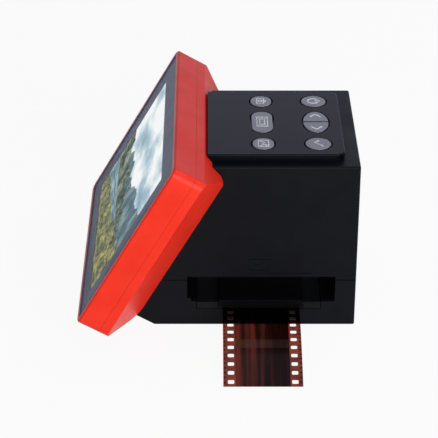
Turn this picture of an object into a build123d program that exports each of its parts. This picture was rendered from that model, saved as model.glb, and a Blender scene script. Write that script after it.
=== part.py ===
from build123d import *
import os
from math import atan2, cos, degrees, pi, radians, sin, tan

os.makedirs("parts", exist_ok=True)

# Film negative scanner. Millimetres. Origin at the centre of the body's underside,
# -Y towards the person who looks at the screen, +X towards the side the film comes out of, +Z up.

# ---- body ---------------------------------------------------------------------------------
BODY_W = 81.0          # width, along X
BODY_HALF_D = 46.0     # underside centre to the rear wall, and to the front edge of the underside
BODY_H = 81.2          # underside to top
SPLIT_Z = 23.5         # height of the line between the base shell and the upper shell
WALL = 2.2             # thickness of the shells' side and top walls
FLOOR_T = 2.2          # thickness of the base shell's floor
EDGE_R = 0.8           # rounding of the body's top edges
BACK_R = 1.0           # rounding of the body's rear upright corners
SEAM = 0.35            # open line between the base shell and the upper shell
FIT = 0.1              # gap between faces of pieces that are fixed to each other
RUN = 0.3              # gap round pieces that move
# ---- screen housing -----------------------------------------------------------------------
TILT = 30.0            # lean of the screen from upright, degrees
FACE_Y = -57.9         # centre of the screen's front face
FACE_Z = 53.8
HOUSE_W = 131.0        # across, along X
HOUSE_H = 88.8         # along the tilted face
HOUSE_R = 4.0          # corner radius of the front outline
BEZEL_D = 10.5         # depth of the front half, front face to the seam
SIDE_D = 14.8          # depth of the straight side walls
REAR_T = 28.3          # front face to the rear face of the housing
REAR_H = 80.0          # height of the rear face along the tilt
REAR_R = 6.0           # rounding where the upper and lower tapers meet the rear face
HOUSE_WALL = 2.4       # wall of the housing's two halves
RIM_W = 2.2            # width of the coloured rim round the window
RIM_CHAMFER = 0.7      # bevel on the rim's outer front edge
WINDOW_SET = 0.05      # window's face below the rim
WINDOW_T = 0.55        # window glass
BORDER_T = 0.1         # dark border behind the glass
BORDER_LIP = 0.3       # the border's turned-up edge round the glass
MASK_FRAME_T = 1.8     # the bezel's inner frame, behind the border
VIEW_W = 101.5         # visible picture, across
VIEW_H = 65.7          # visible picture, along the face
VIEW_S = -1.5          # centre of the picture above the centre of the face
LCD_MARGIN = 3.2       # panel edge outside the visible picture
LCD_T = 2.8            # display panel thickness
LCD_LIP = 0.3          # its front glass outside the visible picture
TRAY_SHEET = 0.8       # metal sheet behind the display panel
# ---- control plate and keys ---------------------------------------------------------------
PLATE_W = 66.6         # along X
PLATE_X = 2.5          # its centre
PLATE_BACK_Y = 39.3    # its rear edge
PLATE_H = 3.8          # height above the body's top
PLATE_R = 4.5          # its rear corners
PLATE_SKIN = 1.6       # thickness over the keys
PLATE_RIM = 1.2        # width of the plate's solid rim
PLATE_GAP = 1.4        # its front edge behind the housing's straight top wall
KEY_RISE = 0.3         # keys above the plate
KEY_RING = 0.7         # dark gap round each key
KEY_LIP = 0.6          # the key's collar outside its hole
KEY_COLLAR_T = 0.9     # thickness of that collar
KEY_TRAVEL = 0.5       # key stroke
KEY_DOME = 0.45        # rounding of a key's upper edge
STEM_R = 1.6           # key stem
ROW_Y = 3.3            # front row of keys (camera, capture, gallery)
REAR_ROW_Y = 27.8      # rear row of keys (power, up and down, OK)
KEY_FAR_X = -19.3      # far column
KEY_MID_X = 2.9        # middle column
KEY_NEAR_X = 25.2      # near column
SMALL_LX, SMALL_LY = 11.2, 9.7    # the two small front keys
LONG_LX, LONG_LY = 21.3, 9.6      # the long capture key
ROUND_D = 11.5                    # the two round rear keys
ROCK_LX, ROCK_LY = 21.2, 11.6     # oval outline of the up and down pair
ROCK_SPLIT = 1.2                  # gap between its halves
# ---- film path ----------------------------------------------------------------------------
FILM_Y = BODY_HALF_D - 43.2       # centre line of the film, from the rear wall
SLOT_W = 67.5          # opening for the film inserts
SLOT_Z0 = 12.2         # its floor
SLOT_H = 13.0          # its height
SLOT_STEP_W = 1.8      # the step at its lower front corner
SLOT_STEP_H = 1.6
LINER_T = 1.2          # tunnel wall
TRAY_W = 56.5          # film tray
TRAY_T = 3.4
TRAY_OFF = -1.0        # the tray's centre line beside the film's
TRAY_UNDER = 0.3       # gap between the tray's top and the slot's floor
TRAY_FLOOR = 0.8       # floor of the tray's pocket
TRAY_BACK = 3.0        # from the tray's inner end to the far wall's inside
RAIL_FOOT_X = 28.0     # feet of the tray's rails
INSERT_W = 38.2        # 35 mm film insert
INSERT_T = 5.1
INSERT_OUT = 3.0       # how far it stands out of the side
INSERT_SIDE = 1.3      # its side walls
INSERT_FLOOR = 0.6     # its floor under the film
INSERT_SEAT = 0.2      # gap between the insert and the tray's pocket floor
GATE_LX, GATE_LY = 37.0, 25.0     # picture windows of the insert
FILM_W = 35.0
FILM_T = 0.15
PERF_PITCH = 4.75      # film perforations
PERF_LX, PERF_LY = 1.98, 2.79
PERF_ROW = 28.17       # distance between the two rows' centres
FRAME_PITCH = 38.0     # eight perforations
FILM_FRAMES = 3        # frames on the strip
FILM_OUT = 48.0        # length of film outside the insert
BEND1_DEG, BEND1_L = 4.0, 3.4     # first, tighter part of the droop
BEND2_DEG = 21.8                  # the long part of the droop
# ---- lamp and camera ----------------------------------------------------------------------
LAMP_LX, LAMP_LY = 46.0, 36.0     # lamp box outside
LAMP_WALL = 1.6
BOARD_T = 1.4          # circuit boards
DIFFUSER_T = 2.0
LAMP_GAP = 1.0         # lamp box below the tray
LED_NEAR_X, LED_FAR_X, LED_ROW_Y = 4.7, 14.0, 9.0
HOOD_LX, HOOD_LY = 46.0, 34.0     # camera hood, lower part
HOOD_PAD = 8.0         # its screw pads
TOWER_L = 26.0                    # camera tower, square
HOOD_TOP = 40.0        # top of the lower part
TOWER_TOP = 61.0       # top of the tower
HOOD_WALL = 1.8
BARREL_R, BARREL_H = 8.0, 15.0
LENS_R = 6.0
SENSOR_L = 11.0
# ---- boards, sockets, fasteners -----------------------------------------------------------
MAIN_Z = 66.0          # underside of the main board
MAIN_HALF_W = 36.0
MAIN_Y0 = -14.6        # front edge of the main board
KEYBOARD_EDGE = 8.0    # key board outside the keys' centres
KEYBOARD_GAP = 0.2     # switch plunger to key stem at the bottom of the stroke
SWITCH_L, SWITCH_H = 6.0, 1.8
PLUNGER_R, PLUNGER_H = 1.4, 0.4
CARD_LX, CARD_LY, CARD_LZ, CARD_X = 27.0, 26.0, 3.0, -14.0
USB_LX, USB_LY, USB_LZ, USB_X = 9.0, 7.6, 3.2, 12.0
VIDEO_LX, VIDEO_LY, VIDEO_LZ, VIDEO_X = 11.2, 8.0, 3.6, 24.0
POST_R = 3.0           # screw posts
POST_X = 34.0
CLAMP_SCREW_L = 8.5    # screws that clamp the screen housing
CLAMP_X, CLAMP_LOW_S, CLAMP_HIGH_S = 27.0, -12.0, 26.0
PROCESSOR_X, PROCESSOR_Y, PROCESSOR_L = 8.0, 12.0, 15.0
POST_FRONT_Y = FILM_Y - SLOT_W / 2 - LINER_T - POST_R - 1.45      # clear of the tunnel
POST_BACK_Y = FILM_Y + SLOT_W / 2 + LINER_T + POST_R + 0.85
SCREW_R, HEAD_R, HEAD_H = 1.25, 2.4, 1.5
FOOT_R, FOOT_T, FOOT_SINK = 5.0, 2.1, 0.6
FOOT_X, FOOT_Y = 22.0, BODY_HALF_D - 6.0

# ---- derived places -----------------------------------------------------------------------
HW, HD = BODY_W / 2, BODY_HALF_D
ST, CT = sin(radians(TILT)), cos(radians(TILT))
FACE = Plane(origin=(0, FACE_Y, FACE_Z), x_dir=(1, 0, 0), z_dir=(0, -CT, ST))
SIDE = Plane(origin=(0, FACE_Y, FACE_Z), x_dir=(0, CT, -ST), z_dir=(1, 0, 0))
PLAN = Plane(origin=(0, FACE_Y, FACE_Z), x_dir=(1, 0, 0), z_dir=(0, ST, CT))
PLATE_TOP = BODY_H + PLATE_H
TRAY_Y = FILM_Y + TRAY_OFF
TRAY_Z1 = SLOT_Z0 - TRAY_UNDER
TRAY_Z0 = TRAY_Z1 - TRAY_T
INSERT_Z0 = TRAY_Z0 + TRAY_FLOOR + INSERT_SEAT
INSERT_Z1 = INSERT_Z0 + INSERT_T
CHANNEL_Z0 = INSERT_Z0 + INSERT_FLOOR
CHANNEL_H = FILM_T + 0.3
FILM_Z = CHANNEL_Z0 + CHANNEL_H / 2
LINER_HX = HW - WALL - FIT


def span(x0, x1, y0, y1, z0, z1):
    """A box given by its limits."""
    return Pos((x0 + x1) / 2, (y0 + y1) / 2, (z0 + z1) / 2) * Box(x1 - x0, y1 - y0, z1 - z0)


def rod(x, y, z0, z1, r):
    """An upright cylinder."""
    return Pos(x, y, (z0 + z1) / 2) * Cylinder(r, z1 - z0)


def block(x, y, z0, z1, lx, ly):
    """A box centred on x, y."""
    return span(x - lx / 2, x + lx / 2, y - ly / 2, y + ly / 2, z0, z1)


def slab(w, h, r, t0, t1, x=0.0, s=0.0):
    """A rounded plate parallel to the screen, from depth t0 to t1 behind its front face."""
    return FACE * (Pos(x, s, -t1) * extrude(RectangleRounded(w, h, r), t1 - t0))


def tilt_rod(x, s, t0, t1, r):
    """A cylinder square to the screen."""
    return FACE * (Pos(x, s, -(t0 + t1) / 2) * Cylinder(r, t1 - t0))


def in_side(t, s):
    """Row y and z of a point at depth t behind the face and s up it."""
    return FACE_Y + s * ST + t * CT, FACE_Z + s * CT - t * ST


def taper(half0, half1, t0, t1, t2, g):
    """Half-outline of the housing in depth: straight wall, taper, rear face, grown by g."""
    d = atan2(half0 - half1, t2 - t1)
    up = [(t0, half0 + g), (t1 + g * tan(d / 2), half0 + g),
          (t2 + g, half1 + g * tan((pi / 2 - d) / 2))]
    return up + [(t, -s) for t, s in reversed(up)]


def housing_side(t0, g):
    """Side outline of the housing, in the SIDE plane."""
    face = make_face(Polyline(*taper(HOUSE_H / 2, REAR_H / 2, t0, SIDE_D, REAR_T, g), close=True))
    return SIDE * fillet(face.vertices().sort_by(Axis.X)[-2:], REAR_R + g)


def housing_plan(t0, g):
    """Outline of the housing seen down the face, in the PLAN plane."""
    pts = [(s, t) for t, s in taper(HOUSE_W / 2, HW, t0, SIDE_D, REAR_T, g)]
    return PLAN * make_face(Polyline(*pts, close=True))


def housing_block(t0, g):
    """The housing's solid outline from depth t0 to its rear face, grown by g."""
    a = extrude(housing_side(t0, g), HOUSE_W / 2 + g, both=True)
    b = extrude(housing_plan(t0, g), HOUSE_H / 2 + g, both=True)
    c = slab(HOUSE_W + 2 * g, HOUSE_H + 2 * g, HOUSE_R + g, t0, REAR_T + 1)
    return a & b & c


def save(node, shape):
    export_step(shape, "parts/" + node + ".step")


def many(shapes):
    return Compound(children=list(shapes))


# ---- body shells --------------------------------------------------------------------------
# One block with the slanted front, hollowed, then parted at the split line.
bevel_s = (HD * -1 - FACE_Y) * ST - FACE_Z * CT
lean = 9.0              # the block reaches this far into the housing's outline before it is cut
front_low = in_side(REAR_T - lean, bevel_s)
front_high_s = (BODY_H - FACE_Z + (REAR_T - lean) * ST) / CT
front_high = in_side(REAR_T - lean, front_high_s)


def body_profile(inset):
    """Side outline of the body, drawn in by inset."""
    outer = make_face(Polyline((-HD, 0), front_low, (front_high[0], BODY_H), (HD, BODY_H), (HD, 0),
                               close=True))
    outer = Plane.YZ * outer - housing_side(0, FIT)
    if inset:
        outer = offset(outer, amount=-inset, kind=Kind.INTERSECTION)
    return outer


body = extrude(body_profile(0), HW, both=True)
back_up = body.edges().filter_by(Axis.Z).group_by(Axis.Y)[-1]
body = fillet(back_up, BACK_R)
rim_edges = [e for e in body.edges() if abs(e.center().Z - BODY_H) < 1e-3
             and (abs(abs(e.center().X) - HW) < BACK_R or e.center().Y > HD - BACK_R)]
body = fillet(rim_edges, EDGE_R)
hollow = extrude(body_profile(WALL), HW - WALL, both=True)
hollow = hollow & span(-HW, HW, -3 * HD, HD, FLOOR_T, BODY_H)
shell = body - hollow

# the film slot goes through both side walls, the tray's slot lies under it
slot_y0, slot_y1 = FILM_Y - SLOT_W / 2, FILM_Y + SLOT_W / 2
slot_cut = span(-HW - 1, HW + 1, slot_y0, slot_y1, SLOT_Z0, SLOT_Z0 + SLOT_H)
slot_cut -= span(-HW - 1, HW + 1, slot_y0, slot_y0 + SLOT_STEP_W, SLOT_Z0, SLOT_Z0 + SLOT_STEP_H)
tray_cut = span(0, HW + 1, TRAY_Y - TRAY_W / 2 - RUN, TRAY_Y + TRAY_W / 2 + RUN,
                TRAY_Z0 - RUN, SLOT_Z0 + 0.01)
film_exit = span(-HW - 1, 0, FILM_Y - INSERT_W / 2 - RUN, FILM_Y + INSERT_W / 2 + RUN,
                 TRAY_Z0 - RUN, SLOT_Z0 + 0.01)
inner_space = span(-HW + WALL, HW - WALL, -HD, HD, 0, BODY_H)
shell -= slot_cut - inner_space
shell -= tray_cut - inner_space
shell -= film_exit - inner_space

# screw posts, one above the other, and the counterbored base screw holes
post_join = 14.0
posts_low, posts_high, screw_holes = [], [], []
for x in (-POST_X, POST_X):
    for y in (POST_FRONT_Y, POST_BACK_Y):
        posts_low.append(rod(x, y, FLOOR_T / 2, post_join, POST_R))
        side = HW - WALL / 2 if x > 0 else -HW + WALL / 2
        top = SPLIT_Z + 9.0
        web = span(min(x, side), max(x, side), y - 1.0, y + 1.0, SPLIT_Z + SEAM / 2, top)
        posts_high.append(rod(x, y, post_join + FIT, top, POST_R) + web)
        screw_holes.append(rod(x, y, -1, post_join + 1, SCREW_R + 0.3))
        screw_holes.append(rod(x, y, -1, HEAD_H + 0.6, HEAD_R + 0.3))
keep_in = body & span(-HW, HW, -3 * HD, HD, 0, BODY_H)
inner_well = extrude(body_profile(WALL + FIT), HW - WALL - FIT, both=True)
inner_well &= span(-HW, HW, -3 * HD, HD, 0, SPLIT_Z + SEAM / 2)
post_room = inner_well + (keep_in & span(-HW, HW, -3 * HD, HD, SPLIT_Z + SEAM / 2, BODY_H))
foot_holes = [rod(x, y, -1, FOOT_SINK, FOOT_R + FIT)
              for x in (-FOOT_X, FOOT_X) for y in (-FOOT_Y, FOOT_Y)]

base_shell = shell & span(-HW, HW, -3 * HD, 2 * HD, 0, SPLIT_Z - SEAM / 2)
base_shell += [p & keep_in for p in posts_low]
base_shell -= screw_holes + foot_holes
lamp_rib = span(-LAMP_LX / 2 - FIT - 1.5, LAMP_LX / 2 + FIT + 1.5, FILM_Y - LAMP_LY / 2 - FIT - 1.5,
                FILM_Y + LAMP_LY / 2 + FIT + 1.5, FLOOR_T - 0.5, FLOOR_T + 1.5)
lamp_rib -= span(-LAMP_LX / 2 - FIT, LAMP_LX / 2 + FIT, FILM_Y - LAMP_LY / 2 - FIT,
                 FILM_Y + LAMP_LY / 2 + FIT, FLOOR_T, FLOOR_T + 2)
base_shell += lamp_rib
save("base_shell", base_shell)

upper_shell = shell & span(-HW, HW, -3 * HD, 2 * HD, SPLIT_Z + SEAM / 2, 2 * BODY_H)
upper_shell += [p & post_room for p in posts_high]
upper_shell -= [rod(x, y, post_join, post_join + 12, SCREW_R)
                for x in (-POST_X, POST_X) for y in (POST_FRONT_Y, POST_BACK_Y)]
# window under the control plate for the keys
plate_x0, plate_x1 = PLATE_X - PLATE_W / 2, PLATE_X + PLATE_W / 2
well_x0, well_x1 = plate_x0 + PLATE_RIM, plate_x1 - PLATE_RIM
well_y0, well_y1 = ROW_Y - LONG_LY / 2 - 4.0, PLATE_BACK_Y - PLATE_RIM
upper_shell -= span(well_x0, well_x1, well_y0, well_y1, BODY_H - WALL - 1, BODY_H + 1)
# hanging posts for the main board
board_y0, board_y1 = MAIN_Y0, HD - WALL - 0.3
board_post_x, board_post_y = MAIN_HALF_W - 3.5, (board_y0 + 5.6, board_y1 - 3.5)
main_top = MAIN_Z + BOARD_T
for x in (-board_post_x, board_post_x):
    for y in board_post_y:
        upper_shell += rod(x, y, main_top, BODY_H - WALL / 2, 2.0) & keep_in
        upper_shell -= rod(x, y, main_top - 1, main_top + 7, 0.8)
# socket mouths in the rear wall
sockets = ((CARD_X, CARD_LX, CARD_LZ), (USB_X, USB_LX, USB_LZ), (VIDEO_X, VIDEO_LX, VIDEO_LZ))
for x, lx, lz in sockets:
    upper_shell -= span(x - lx / 2 - RUN, x + lx / 2 + RUN, HD - WALL - 1, HD + 1,
                        main_top - RUN, main_top + lz + RUN)
# ribbon opening and four screw holes in the slanted front
RIBBON_W, RIBBON_T, RIBBON_S = 20.0, 0.3, 18.0
upper_shell -= slab(RIBBON_W + 4, 6, 1, REAR_T - 1, REAR_T + WALL + 2, s=RIBBON_S)
clamp_at = [(x, s) for x in (-CLAMP_X, CLAMP_X) for s in (CLAMP_LOW_S, CLAMP_HIGH_S)]
upper_shell -= [tilt_rod(x, s, REAR_T - 1, REAR_T + WALL + 2, SCREW_R + 0.3) for x, s in clamp_at]
# raised mark over the slot: a film frame and a direction arrow
mark_y, mark_z, mark_d = FILM_Y - 0.6, SLOT_Z0 + SLOT_H + 5.6, 0.25
mark = span(HW - 0.2, HW + mark_d, mark_y - 5.0, mark_y + 5.0, mark_z - 2.6, mark_z + 3.6)
mark -= span(HW - 1, HW + 1, mark_y - 4.4, mark_y + 4.4, mark_z - 2.0, mark_z + 3.0)
mark += span(HW - 0.2, HW + mark_d, mark_y - 2.6, mark_y + 0.2, mark_z + 0.2, mark_z + 0.8)
tip = make_face(Polyline((mark_y + 2.6, mark_z + 0.5), (mark_y + 0.2, mark_z + 2.0),
                         (mark_y + 0.2, mark_z - 1.0), close=True))
mark += Pos(HW - 0.2, 0, 0) * extrude(Plane.YZ * tip, 0.2 + mark_d)
mark += span(HW - 0.2, HW + mark_d, mark_y - 5.0, mark_y + 24.0, mark_z - 4.4, mark_z - 3.9)
upper_shell += mark
save("upper_shell", upper_shell)

save("feet", many(rod(x, y, FOOT_SINK - FOOT_T, FOOT_SINK - 0.05, FOOT_R)
                  for x in (-FOOT_X, FOOT_X) for y in (-FOOT_Y, FOOT_Y)))


def screw(length):
    """A pan-head screw pointing up, the head's underside at z = 0."""
    head = fillet((Pos(0, 0, -HEAD_H / 2) * Cylinder(HEAD_R, HEAD_H)).edges().sort_by(Axis.Z)[0],
                  HEAD_H * 0.4)
    drive = Pos(0, 0, -HEAD_H) * (Box(2.6, 0.6, 1.2) + Box(0.6, 2.6, 1.2))
    return head - drive + rod(0, 0, -0.1, length, SCREW_R - 0.1)


save("base_screws", many(Pos(x, y, HEAD_H + 0.6) * screw(post_join + 7.0)
                         for x in (-POST_X, POST_X) for y in (POST_FRONT_Y, POST_BACK_Y)))

# ---- screen housing -----------------------------------------------------------------------
pocket_w, pocket_h, pocket_r = HOUSE_W - 2 * RIM_W, HOUSE_H - 2 * RIM_W, HOUSE_R - RIM_W + 0.4
window_t1 = WINDOW_SET + WINDOW_T
frame_t0 = window_t1 + BORDER_T + 0.03
frame_t1 = frame_t0 + MASK_FRAME_T
bezel = slab(HOUSE_W, HOUSE_H, HOUSE_R, 0, BEZEL_D - FIT / 2)
front_edges = bezel.edges().group_by(lambda e: round(FACE.to_local_coords(e).center().Z, 3))[-1]
bezel = chamfer(front_edges, RIM_CHAMFER)
bezel -= slab(pocket_w, pocket_h, pocket_r, -1, frame_t0)
bezel -= slab(VIEW_W + 4 * LCD_LIP, VIEW_H + 4 * LCD_LIP, 0.6, frame_t0 - 1, frame_t1 + 1, s=VIEW_S)
bezel -= slab(HOUSE_W - 2 * HOUSE_WALL, HOUSE_H - 2 * HOUSE_WALL, HOUSE_R - HOUSE_WALL + 0.6,
              frame_t1, BEZEL_D + 1)
# four posts behind the inner frame for the display's metal sheet
lcd_w, lcd_h = VIEW_W + 2 * LCD_MARGIN, VIEW_H + 2 * LCD_MARGIN
lcd_t0 = frame_t1 + FIT
lcd_t1 = lcd_t0 + LCD_T
ear_x = lcd_w / 2 + 4.0
ears = [(x, VIEW_S + s) for x in (-ear_x, ear_x) for s in (-lcd_h / 2 + 8, lcd_h / 2 - 8)]
bezel += [tilt_rod(x, s, frame_t1 - 0.5, lcd_t1 + FIT, 2.6) for x, s in ears]
bezel -= [tilt_rod(x, s, frame_t1 + 0.6, lcd_t1 + 1, 0.9) for x, s in ears]
save("screen_bezel", bezel)

window_w, window_h = pocket_w - 2 * (FIT + BORDER_LIP), pocket_h - 2 * (FIT + BORDER_LIP)
window_r = pocket_r - FIT - BORDER_LIP
save("screen_window", slab(window_w, window_h, window_r, WINDOW_SET, window_t1))
border = slab(pocket_w - 2 * FIT, pocket_h - 2 * FIT, pocket_r - FIT, WINDOW_SET, window_t1 + BORDER_T)
border -= slab(window_w, window_h, window_r, -1, window_t1)
border -= slab(VIEW_W, VIEW_H, 0.3, 0, frame_t1, s=VIEW_S)
save("window_border", border)
# the panel's own front glass stands up through the inner frame, close behind the border
panel = slab(lcd_w, lcd_h, 0.8, lcd_t0, lcd_t1, s=VIEW_S)
panel += slab(VIEW_W + 2 * LCD_LIP, VIEW_H + 2 * LCD_LIP, 0.5, frame_t0, lcd_t0 + 0.5, s=VIEW_S)
save("display_panel", panel)

sheet_t0 = lcd_t1 + FIT
sheet = slab(lcd_w, lcd_h, 1, sheet_t0, sheet_t0 + TRAY_SHEET, s=VIEW_S)
for x, s in ears:
    sheet += slab(12, 8, 1.5, sheet_t0, sheet_t0 + TRAY_SHEET, x=x - 3 if x > 0 else x + 3, s=s)
sheet -= [tilt_rod(x, s, 0, REAR_T, SCREW_R) for x, s in ears]
sheet -= slab(RIBBON_W + 2, 3, 0.5, 0, REAR_T, s=RIBBON_S)
save("display_sheet", sheet)
screw_t = sheet_t0 + TRAY_SHEET
save("display_screws", many(tilt_rod(x, s, screw_t, screw_t + 1.0, 2.0)
                            + tilt_rod(x, s, screw_t - 3.0, screw_t + 0.2, 0.8) for x, s in ears))

back = housing_block(BEZEL_D + FIT / 2, 0)
back -= housing_block(BEZEL_D - 1, -HOUSE_WALL)
boss_t0 = REAR_T - HOUSE_WALL - 8.0
back += [tilt_rod(x, s, boss_t0, REAR_T - HOUSE_WALL / 2, POST_R) for x, s in clamp_at]
back -= [tilt_rod(x, s, boss_t0 + 1, REAR_T + 1, SCREW_R - 0.1 + 0.05) for x, s in clamp_at]
back -= slab(RIBBON_W + 4, 6, 1, REAR_T - HOUSE_WALL - 1, REAR_T + 1, s=RIBBON_S)
# a tongue inside the seam that centres the bezel
tongue = slab(HOUSE_W - 2 * HOUSE_WALL - 2 * FIT, HOUSE_H - 2 * HOUSE_WALL - 2 * FIT,
              HOUSE_R - HOUSE_WALL + 0.5, BEZEL_D - 1.5, BEZEL_D + 2.0)
tongue -= slab(HOUSE_W - 2 * HOUSE_WALL - 2.4, HOUSE_H - 2 * HOUSE_WALL - 2.4, 1.0,
               BEZEL_D - 2, BEZEL_D + 3)
tongue_root = slab(HOUSE_W - 1, HOUSE_H - 1, HOUSE_R, BEZEL_D + FIT / 2, BEZEL_D + 2.0)
tongue_root -= slab(HOUSE_W - 2 * HOUSE_WALL - 2.4, HOUSE_H - 2 * HOUSE_WALL - 2.4, 1.0,
                    BEZEL_D - 1, BEZEL_D + 3)
back += [tongue, tongue_root]
save("screen_back", back)

clamp_screws = []
for x, s in clamp_at:
    t = REAR_T + FIT + WALL + 0.05
    clamp_screws.append(tilt_rod(x, s, t, t + HEAD_H, HEAD_R)
                        + tilt_rod(x, s, t - CLAMP_SCREW_L, t + 0.3, SCREW_R - 0.1))
save("housing_screws", many(clamp_screws))

# ---- control plate ------------------------------------------------------------------------
plate = span(plate_x0, plate_x1, -HD, PLATE_BACK_Y, BODY_H, PLATE_TOP)
plate = fillet(plate.edges().filter_by(Axis.Z).group_by(Axis.Y)[-1], PLATE_R)
plate = fillet([e for e in plate.edges() if abs(e.center().Z - PLATE_TOP) < 1e-3
                and e.center().Y > -HD + 1], 0.5)
plate -= extrude(housing_side(0, FIT + 0.1), HOUSE_W, both=True)
plate_front = in_side(SIDE_D, HOUSE_H / 2)[0] + PLATE_GAP
plate -= span(-HOUSE_W, HOUSE_W, -4 * HD, plate_front, 0, 2 * PLATE_TOP)
plate -= span(well_x0, well_x1, well_y0, well_y1, BODY_H - 1, PLATE_TOP - PLATE_SKIN)


def oval(lx, ly, z0, z1, grow=0.0, pointed=False):
    """A disc, a stadium or, where pointed, an ellipse, grown by a gap all round."""
    a, b = lx + 2 * grow, ly + 2 * grow
    shape = Circle(a / 2) if abs(a - b) < 1e-6 else SlotOverall(a, b)
    if pointed:
        shape = Ellipse(a / 2, b / 2)
    return Pos(0, 0, z0) * extrude(shape, z1 - z0)


key_top = PLATE_TOP + KEY_RISE
collar_z1 = PLATE_TOP - PLATE_SKIN - 0.15
collar_z0 = collar_z1 - KEY_COLLAR_T
stem_z0 = BODY_H - WALL + 0.4
collar_room = span(well_x0 + RUN, well_x1 - RUN, well_y0 + RUN, well_y1 - RUN, BODY_H, PLATE_TOP)
round_keys = {
    "key_camera": (KEY_FAR_X, ROW_Y, SMALL_LX, SMALL_LY),
    "key_capture": (KEY_MID_X, ROW_Y, LONG_LX, LONG_LY),
    "key_gallery": (KEY_NEAR_X, ROW_Y, SMALL_LX, SMALL_LY),
    "key_power": (KEY_FAR_X, REAR_ROW_Y, ROUND_D, ROUND_D),
    "key_ok": (KEY_NEAR_X, REAR_ROW_Y, ROUND_D, ROUND_D),
}
for name, (x, y, lx, ly) in round_keys.items():
    plate -= Pos(x, y, 0) * oval(lx, ly, BODY_H, PLATE_TOP + 1, KEY_RING)
    cap = oval(lx, ly, collar_z0, key_top)
    cap = fillet(cap.faces().sort_by(Axis.Z)[-1].edges(), KEY_DOME)
    cap += oval(lx, ly, collar_z0, collar_z1, KEY_RING + KEY_LIP) & (Pos(-x, -y, 0) * collar_room)
    cap += rod(0, 0, stem_z0, collar_z0 + 0.2, STEM_R)
    save(name, Pos(x, y, 0) * cap)
# the up and down keys share one oval hole, split across its middle
plate -= Pos(KEY_MID_X, REAR_ROW_Y, 0) * oval(ROCK_LX, ROCK_LY, BODY_H, PLATE_TOP + 1, KEY_RING, True)
rock_at = ROCK_LX / 4
for name, sign in (("key_up", -1), ("key_down", 1)):
    half = span(-ROCK_LX, -ROCK_SPLIT / 2, -ROCK_LY, ROCK_LY, 0, 2 * PLATE_TOP)
    cap = oval(ROCK_LX, ROCK_LY, collar_z0, key_top, pointed=True)
    cap = fillet(cap.faces().sort_by(Axis.Z)[-1].edges(), KEY_DOME) & half
    cap += oval(ROCK_LX, ROCK_LY, collar_z0, collar_z1, KEY_RING + KEY_LIP, True) & half
    cap += rod(-rock_at, 0, stem_z0, collar_z0 + 0.2, STEM_R)
    cap = cap if sign < 0 else Rot(0, 0, 180) * cap
    save(name, Pos(KEY_MID_X, REAR_ROW_Y, 0) * cap)

# key board with one switch under each stem, hung from the plate on two screw posts
stems = [(x, y) for x, y, lx, ly in round_keys.values()]
stems += [(KEY_MID_X - rock_at, REAR_ROW_Y), (KEY_MID_X + rock_at, REAR_ROW_Y)]
plunger_top = stem_z0 - KEY_TRAVEL - KEYBOARD_GAP
switch_z0 = plunger_top - PLUNGER_H - SWITCH_H
keyboard_z0 = switch_z0 - BOARD_T
hang_at = [(KEY_FAR_X, (ROW_Y + REAR_ROW_Y) / 2), (KEY_NEAR_X, (ROW_Y + REAR_ROW_Y) / 2)]
for x, y in hang_at:
    plate += rod(x, y, switch_z0 + 0.05, PLATE_TOP - PLATE_SKIN / 2, 2.2)
    plate -= rod(x, y, switch_z0 - 1, switch_z0 + 5, 0.8)
save("control_plate", plate)
keyboard_x0, keyboard_x1 = KEY_FAR_X - KEYBOARD_EDGE, KEY_NEAR_X + KEYBOARD_EDGE - 1.5
keyboard_y0, keyboard_y1 = ROW_Y - KEYBOARD_EDGE, REAR_ROW_Y + KEYBOARD_EDGE
key_board = span(keyboard_x0, keyboard_x1, keyboard_y0, keyboard_y1, keyboard_z0, switch_z0)
save("key_board", key_board - [rod(x, y, 0, switch_z0 + 1, SCREW_R) for x, y in hang_at])
save("key_board_screws", many(rod(x, y, keyboard_z0 - 1.2, keyboard_z0 - 0.05, 2.0)
                              + rod(x, y, keyboard_z0 - 0.2, switch_z0 + 4.5, 0.75)
                              for x, y in hang_at))
save("key_switches", many(block(x, y, switch_z0, switch_z0 + SWITCH_H, SWITCH_L * 0.7, SWITCH_L)
                          + rod(x, y, switch_z0 + SWITCH_H - 0.2, plunger_top, PLUNGER_R)
                          for x, y in stems))

# ---- film tunnel, tray rails --------------------------------------------------------------
tunnel = span(-LINER_HX, LINER_HX, slot_y0 - LINER_T, slot_y1 + LINER_T,
              SLOT_Z0 - LINER_T, SLOT_Z0 + SLOT_H + LINER_T)
tunnel -= span(-HW, HW, slot_y0, slot_y1, SLOT_Z0, SLOT_Z0 + SLOT_H)
tray_y0, tray_y1 = TRAY_Y - TRAY_W / 2, TRAY_Y + TRAY_W / 2
tunnel -= span(-HW, HW, tray_y0 - RUN, tray_y1 + RUN, 0, SLOT_Z0 + 1)
tunnel -= block(0, FILM_Y, SLOT_Z0 + SLOT_H - 1, SLOT_Z0 + SLOT_H + 3, GATE_LX + 4, GATE_LY + 4)
save("film_tunnel", tunnel)
rail_z1 = SLOT_Z0 - LINER_T - FIT
rail_z0 = TRAY_Z0 - RUN - LINER_T
rail = span(-LINER_HX, LINER_HX, tray_y0 - RUN - LINER_T, tray_y0 - RUN, rail_z0, rail_z1)
rail += span(-LINER_HX, LINER_HX, tray_y0 - RUN - LINER_T, tray_y0 + 2.2, rail_z0, rail_z0 + LINER_T)
rail_foot = [block(x, tray_y0 - RUN - LINER_T / 2, FLOOR_T + FIT, rail_z0 + 0.1, 6.0, LINER_T)
             for x in (-RAIL_FOOT_X, RAIL_FOOT_X)]
rail += rail_foot
save("tray_rail_front", rail)
save("tray_rail_rear", mirror(rail, about=Plane.XZ.offset(-TRAY_Y)))

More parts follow.
